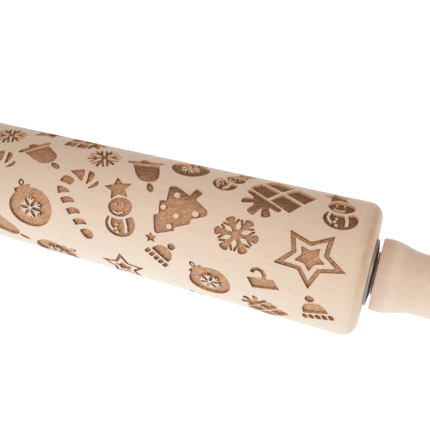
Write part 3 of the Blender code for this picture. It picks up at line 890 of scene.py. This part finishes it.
def mix_colors(tree, share, first, second, blend="MIX"):
    """Two colours mixed by a share."""
    inputs = {0: share, 6: first, 7: second}
    return add_node(tree, "ShaderNodeMix", inputs, data_type="RGBA", blend_type=blend).outputs[2]


def object_place(tree):
    """Object coordinates, in metres."""
    return add_node(tree, "ShaderNodeTexCoord").outputs["Object"]


def mapped(tree, vector, **inputs):
    """A vector moved, turned or scaled by a Mapping node."""
    return add_node(tree, "ShaderNodeMapping", {"Vector": vector, **inputs}).outputs[0]


def parts_of(tree, vector):
    """The X, Y and Z of a vector."""
    return add_node(tree, "ShaderNodeSeparateXYZ", {0: vector}).outputs


def vector_of(tree, x=0.0, y=0.0, z=0.0):
    """A vector made of its X, Y and Z."""
    return add_node(tree, "ShaderNodeCombineXYZ", {0: x, 1: y, 2: z}).outputs[0]


def noise(tree, vector, scale=1.0, detail=3.0, roughness=0.5):
    """Noise at a place."""
    inputs = {"Vector": vector, "Scale": scale, "Detail": detail, "Roughness": roughness}
    return add_node(tree, "ShaderNodeTexNoise", inputs).outputs["Fac"]


def stretched_noise(tree, scales, detail=3.0, roughness=0.55):
    """Noise on object coordinates, with so many waves to the metre along X, Y and Z."""
    place = mapped(tree, object_place(tree), Scale=scales)
    return noise(tree, place, detail=detail, roughness=roughness)


def beech_group():
    """Beech: soft streaks along the grain, faint growth rings and short dark flecks."""
    tree, given, result = new_group(
        "beech_figure",
        [
            ("Pale", "NodeSocketColor", BARREL_PALE),
            ("Rosy", "NodeSocketColor", BARREL_ROSY),
            ("Fleck", "NodeSocketColor", (0.52, 0.36, 0.25, 1.0)),
            ("Fleck Strength", "NodeSocketFloat", 0.35),
        ],
        [("Color", "NodeSocketColor"), ("Height", "NodeSocketFloat")],
    )
    from_pith = mapped(tree, object_place(tree), Location=PITH_OFFSET)
    across = vector_node(tree, "MULTIPLY", from_pith, (0.0, 1.0, 1.0)).outputs[0]
    distance = vector_node(tree, "LENGTH", across).outputs["Value"]
    wander = stretched_noise(tree, (14.0, 42.0, 42.0), 2.0)
    ring_place = weighted_sum(tree, (wander, 9.0), (distance, RING_PHASE))
    ring = math_node(tree, "MULTIPLY_ADD", math_node(tree, "SINE", ring_place), 0.5, 0.5)
    streak = stretched_noise(tree, (22.0, 260.0, 260.0), 4.0, 0.6)
    cloud = stretched_noise(tree, (11.0, 30.0, 30.0), 2.0)
    tone = remap(tree, weighted_sum(tree, (ring, 0.08), (streak, 0.50), (cloud, 0.55)), 0.38, 0.86)
    wood = mix_colors(tree, tone, given.outputs["Pale"], given.outputs["Rosy"])
    dash = remap(tree, stretched_noise(tree, (420.0, 3600.0, 3600.0), 1.0), 0.62, 0.72)
    fleck_share = math_node(tree, "MULTIPLY", dash, given.outputs["Fleck Strength"])
    flecked = mix_colors(tree, fleck_share, wood, given.outputs["Fleck"])
    fibre = stretched_noise(tree, (180.0, 2600.0, 2600.0), 2.0)
    height = weighted_sum(tree, (fibre, 0.6), (dash, -0.5))
    tree.links.new(flecked, result.inputs["Color"])
    tree.links.new(height, result.inputs["Height"])
    return tree


def unrolled_group():
    """The laser's slanting lines on the unrolled barrel, and how near a place is to the barrel's crest."""
    tree, given, result = new_group(
        "unrolled_barrel",
        [("Across Scale", "NodeSocketFloat", 1400.0), ("Along Scale", "NodeSocketFloat", 260.0)],
        [("Lines", "NodeSocketFloat"), ("Crest", "NodeSocketFloat")],
    )
    along, sideways, up = parts_of(tree, object_place(tree))
    height = math_node(tree, "SUBTRACT", up, AXIS_HEIGHT)
    around = math_node(tree, "MULTIPLY", math_node(tree, "ARCTAN2", sideways, height), BARREL_RADIUS)
    slanted = mapped(tree, vector_of(tree, along, around), Rotation=(0.0, 0.0, LASER_SLANT))
    scales = vector_of(tree, given.outputs["Along Scale"], given.outputs["Across Scale"])
    stretched = vector_node(tree, "MULTIPLY", slanted, scales).outputs[0]
    lines = noise(tree, stretched, detail=2.0, roughness=0.6)
    across_lines = parts_of(tree, slanted)[1]
    phase = weighted_sum(tree, (lines, 6.0), (across_lines, math.tau / LASER_PITCH))
    passes = math_node(tree, "SINE", phase)
    striped = weighted_sum(tree, (lines, 1.0), (passes, 0.10))
    tree.links.new(striped, result.inputs["Lines"])
    # The crest places the engraving's painted light and shade; the further a place lies to the right, the
    # nearer to the crest it counts
    crest = weighted_sum(tree, (height, 1.0 / BARREL_RADIUS), (along, CREST_TILT))
    tree.links.new(crest, result.inputs["Crest"])
    return tree


def new_material(name):
    """A material with its tree and its Principled shader."""
    material = bpy.data.materials.new(name)
    material.use_nodes = True
    return material, material.node_tree, material.node_tree.nodes["Principled BSDF"]


def set_bump(tree, shader, height, distance):
    """Bump from a height in the shader's normal."""
    bump = add_node(tree, "ShaderNodeBump", {"Height": height, "Distance": distance, "Strength": 1.0})
    tree.links.new(bump.outputs[0], shader.inputs["Normal"])


def beech_material(name, beech, pale, rosy, bands):
    """Sanded beech, with painted shade that darkens and warms it away from its painted pool of light, and
    bands that tint its turned ends.

    The bands' edges waver. Towards the pin's top the bands are stronger and lie a little further inwards.
    """
    material, tree, shader = new_material(name)
    wood = place_group(tree, beech, {"Pale": pale, "Rosy": rosy})
    along, _, up = parts_of(tree, object_place(tree))
    # Painted pool of light: the wood is darkened and warmed away from the place along the pin where the
    # light is painted strongest
    from_light_pool = math_node(tree, "ABSOLUTE", math_node(tree, "SUBTRACT", along, LIGHT_POOL_AT))
    painted_shade_share = remap(tree, from_light_pool, LIGHT_POOL_REACH, FULL_SHADE_REACH)
    color = mix_colors(tree, painted_shade_share, wood.outputs["Color"], PAINTED_SHADE_TINT, "MULTIPLY")
    from_end = math_node(tree, "SUBTRACT", BARREL_END, math_node(tree, "ABSOLUTE", along))
    waver = math_node(tree, "SUBTRACT", stretched_noise(tree, (90.0, 160.0, 160.0)), 0.5)
    lean = remap(tree, up, AXIS_HEIGHT, 2 * AXIS_HEIGHT, 0.0, BAND_LEAN)
    ragged = weighted_sum(tree, (from_end, 1.0), (waver, BAND_WAVER), (lean, -1.0))
    patchy = remap(tree, stretched_noise(tree, (300.0, 200.0, 200.0)), 0.30, 0.62, 0.50, 1.0)
    stronger = remap(tree, up, LOW_BAND_HEIGHT, FULL_BAND_HEIGHT, LOW_BAND_SHARE, 1.0)
    strength = math_node(tree, "MULTIPLY", patchy, stronger)
    for band_color, band_at, band_reach in bands:
        away = math_node(tree, "ABSOLUTE", math_node(tree, "SUBTRACT", ragged, band_at))
        share = math_node(tree, "MULTIPLY", remap(tree, away, band_reach, band_reach / 3), strength)
        color = mix_colors(tree, share, color, band_color)
    tree.links.new(color, shader.inputs["Base Color"])
    shader.inputs["Roughness"].default_value = 0.52
    shader.inputs["Specular IOR Level"].default_value = 0.35
    set_bump(tree, shader, wood.outputs["Height"], FIBRE_RELIEF)
    return material


def burnt_material(name, unrolled, light, dark, crest_shade_share, corner_share, away_shade_share, relief):
    """Wood that the laser has burnt, in slanting lines, with short fibres and sooty patches, and with
    painted light and shade towards the barrel's crest, in its corners and on the side away from the light.
    """
    material, tree, shader = new_material(name)
    laser = place_group(tree, unrolled)
    fibre = stretched_noise(tree, (1100.0, 1800.0, 1800.0), 1.0, 0.65)
    patch = stretched_noise(tree, (170.0, 260.0, 260.0), 2.0)
    burn = weighted_sum(tree, (laser.outputs["Lines"], 0.45), (fibre, 0.40), (patch, 0.15))
    # Painted light and shade towards the barrel's crest: a positive share paints shade there, as on the
    # floors, a negative one paints light, as on the walls
    crest_light_and_shade = remap(tree, laser.outputs["Crest"], 0.82, 1.08, 0.0, crest_shade_share)
    # Painted shade in the corner between a floor and its walls, from ambient occlusion
    distance = {"Distance": CORNER_SHADE_REACH}
    corner = add_node(tree, "ShaderNodeAmbientOcclusion", distance, only_local=True, samples=8)
    corner_painted_shade = remap(tree, corner.outputs["AO"], 0.92, 0.62, 0.0, corner_share)
    # Painted shade on the walls that look away from the side the light comes from
    normal = add_node(tree, "ShaderNodeNewGeometry").outputs["Normal"]
    facing = vector_node(tree, "DOT_PRODUCT", normal, LIGHT_SIDE_DIRECTION).outputs["Value"]
    away_painted_shade = remap(tree, facing, -0.15, -0.45, 0.0, away_shade_share)
    share = remap(tree, burn, 0.34, 0.74)
    # Each painted light or shade term raises or lowers the share of dark burnt wood
    for painted_term in (crest_light_and_shade, corner_painted_shade, away_painted_shade):
        share = math_node(tree, "ADD", share, painted_term)
    color = mix_colors(tree, remap(tree, share, 0.0, 1.0), light, dark)
    tree.links.new(color, shader.inputs["Base Color"])
    shader.inputs["Roughness"].default_value = 0.85
    shader.inputs["Specular IOR Level"].default_value = 0.2
    set_bump(tree, shader, burn, relief)
    return material


def metal_material(name, color, roughness, painted_reflection=None):
    """Metal turned on a lathe, with fine lines round the pin's axis.

    Where a painted reflection colour is given, the metal keeps its own colour only on the rim next to the
    barrel's end, and beyond it that colour stands in for the reflection of the handle's face in shade.
    """
    material, tree, shader = new_material(name)
    centred = mapped(tree, object_place(tree), Location=(0.0, 0.0, -AXIS_HEIGHT))
    along, sideways, up = parts_of(tree, centred)
    radius = vector_node(tree, "LENGTH", vector_of(tree, 0.0, sideways, up)).outputs["Value"]
    lines = noise(tree, vector_of(tree, along, radius), TURNING_LINES)
    smudge = stretched_noise(tree, (160.0, 160.0, 160.0))
    rough = math_node(tree, "ADD", weighted_sum(tree, (lines, 0.12), (smudge, 0.18)), roughness - 0.15)
    tree.links.new(rough, shader.inputs["Roughness"])
    shade = remap(tree, weighted_sum(tree, (lines, 0.4), (smudge, 0.6)), 0.3, 0.7)
    darker = tuple(0.82 * part for part in color[:3]) + (1.0,)
    tone = mix_colors(tree, shade, color, darker)
    if painted_reflection:
        # Painted reflection of the handle's face in shade, on the collar beyond its rim
        beyond = math_node(tree, "SUBTRACT", math_node(tree, "ABSOLUTE", along), BARREL_END)
        reflection_share = remap(tree, beyond, BRIGHT_RIM, BRIGHT_RIM + 2 * METAL_BEVEL)
        tone = mix_colors(tree, reflection_share, tone, painted_reflection)
    tree.links.new(tone, shader.inputs["Base Color"])
    shader.inputs["Metallic"].default_value = 1.0
    set_bump(tree, shader, lines, TURNING_RELIEF)
    return material


def nylon_material():
    """Natural nylon, slightly cloudy."""
    material, tree, shader = new_material("natural_nylon")
    cloud = stretched_noise(tree, (220.0, 220.0, 220.0))
    milk = mix_colors(tree, cloud, (0.80, 0.79, 0.74, 1.0), (0.70, 0.69, 0.63, 1.0))
    tree.links.new(milk, shader.inputs["Base Color"])
    tree.links.new(remap(tree, cloud, 0.0, 1.0, 0.42, 0.56), shader.inputs["Roughness"])
    set_bump(tree, shader, cloud, NYLON_RELIEF)
    return material


def repaint(node_name, material):
    """Give a node of the model that stays its finish."""
    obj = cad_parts[node_name]
    obj.data.materials.clear()
    obj.data.materials.append(material)


def make_stage():
    """A floor that runs out of sight, white to the camera, with a cool glow on all that stands on it."""
    mesh = bpy.data.meshes.new("floor")
    bm = bmesh.new()
    bmesh.ops.create_grid(bm, x_segments=1, y_segments=1, size=FLOOR_HALF)
    bm.to_mesh(mesh)
    bm.free()
    material, tree, shader = new_material("pale_floor")
    shader.inputs["Base Color"].default_value = (0.10, 0.10, 0.10, 1.0)
    shader.inputs["Roughness"].default_value = 0.9
    seen = add_node(tree, "ShaderNodeLightPath").outputs["Is Camera Ray"]
    glow = mix_colors(tree, seen, FLOOR_GLOW, (1.0, 1.0, 1.0, 1.0))
    tree.links.new(glow, shader.inputs["Emission Color"])
    shader.inputs["Emission Strength"].default_value = 1.0
    mesh.materials.append(material)
    floor = new_object("floor", mesh)


def add_softbox(name, place, color, width, height, power):
    """A rectangular soft light that faces the middle of the pin."""
    data = bpy.data.lights.new(name, "AREA")
    data.shape = "RECTANGLE"
    data.size = width
    data.size_y = height
    data.energy = power
    data.color = color
    light = new_object(name, data)
    light.location = place
    aim = Vector((0.0, 0.0, AXIS_HEIGHT)) - Vector(place)
    light.rotation_euler = aim.to_track_quat("-Z", "Y").to_euler()


def make_surround(scene):
    """A white surround, weaker overhead than at the level of the eye."""
    world = bpy.data.worlds.new("studio")
    world.use_nodes = True
    tree = world.node_tree
    background = tree.nodes["Background"]
    upward = parts_of(tree, add_node(tree, "ShaderNodeTexCoord").outputs["Generated"])[2]
    strength = remap(tree, upward, 0.0, 1.0, LEVEL_SURROUND, OVERHEAD_SURROUND)
    tree.links.new(strength, background.inputs["Strength"])
    background.inputs["Color"].default_value = (1.0, 1.0, 1.0, 1.0)
    scene.world = world


def make_camera(scene):
    """The camera, at the photograph's place and angle."""
    data = bpy.data.cameras.new("camera")
    data.lens = CAMERA_LENS
    data.sensor_width = CAMERA_SENSOR
    camera = new_object("camera", data)
    camera.location = CAMERA_PLACE
    camera.rotation_euler = (math.radians(90.0 - CAMERA_DEPRESSION), 0.0, math.radians(CAMERA_TURN))
    scene.camera = camera


def make_studio():
    """Surround, soft lights from the left and right front, and camera."""
    scene = bpy.context.scene
    scene.view_settings.view_transform = "Standard"
    make_surround(scene)
    for softbox in SOFTBOXES:
        add_softbox(*softbox)
    make_camera(scene)


def main():
    """Dress the whole pin."""
    beech = beech_group()
    unrolled = unrolled_group()
    barrel_beech = beech_material("barrel_beech", beech, BARREL_PALE, BARREL_ROSY, BARREL_BANDS)
    handle_beech = beech_material("handle_beech", beech, HANDLE_PALE, HANDLE_ROSY, HANDLE_BANDS)
    # The floors' burnt wood, with painted shade towards the crest and in its corners
    floor_burn = burnt_material(
        "engraved_floor", unrolled, (0.77, 0.41, 0.22, 1.0), (0.20, 0.09, 0.05, 1.0),
        crest_shade_share=0.80, corner_share=0.26, away_shade_share=0.0, relief=FLOOR_RELIEF,
    )
    # The walls' burnt wood, painted lighter than the floors' where the light falls on them and lighter
    # still towards the crest, with painted shade in corners and on the side away from the light
    wall_burn = burnt_material(
        "engraved_wall", unrolled, (0.82, 0.47, 0.25, 1.0), (0.22, 0.095, 0.05, 1.0),
        crest_shade_share=-0.35, corner_share=0.18, away_shade_share=0.48, relief=WALL_RELIEF,
    )
    make_barrel((barrel_beech, floor_burn, wall_burn))

    # The collar's cone past its rim gets a painted reflection of the handle's face in shade
    collar_steel = metal_material("collar_steel", (0.42, 0.375, 0.37, 1.0), 0.52, (0.45, 0.38, 0.37, 1.0))
    # The washer's steel is tinted brown as a painted reflection of the wood in shade around it
    washer_steel_painted_reflection = metal_material("washer_steel_painted_reflection", (0.62, 0.44, 0.36, 1.0), 0.60)
    bright_steel = metal_material("bright_steel", (0.66, 0.66, 0.68, 1.0), 0.30)
    brass = metal_material("brass", (0.80, 0.60, 0.30, 1.0), 0.34)
    nylon = nylon_material()
    # Each turned piece: how it is finished, its outline, whether that is closed, material, body and slot
    turned_pieces = {
        "handle": ("turned", handle_outline(), False, handle_beech, "handles", "handle_wood"),
        "collar": ("bevelled", collar_outline(), True, collar_steel, "barrel", "collar_metal"),
        "washer": ("bevelled", washer_outline(), True, washer_steel_painted_reflection, "handles", "axle_steel"),
    }
    for label, side in (("left", -1), ("right", 1)):
        for kind, (work, outline, closed, material, body, slot) in turned_pieces.items():
            piece = spun(on_side(outline, side), TURNING_STEPS, closed)
            finished(f"{work}_{label}_{kind}", piece, (material,), body, f"{label}_{kind}")
        repaint(f"{label}_bearing", nylon)
        repaint(f"{label}_insert", brass)
    repaint("axle", bright_steel)
    make_stage()
    make_studio()


main()
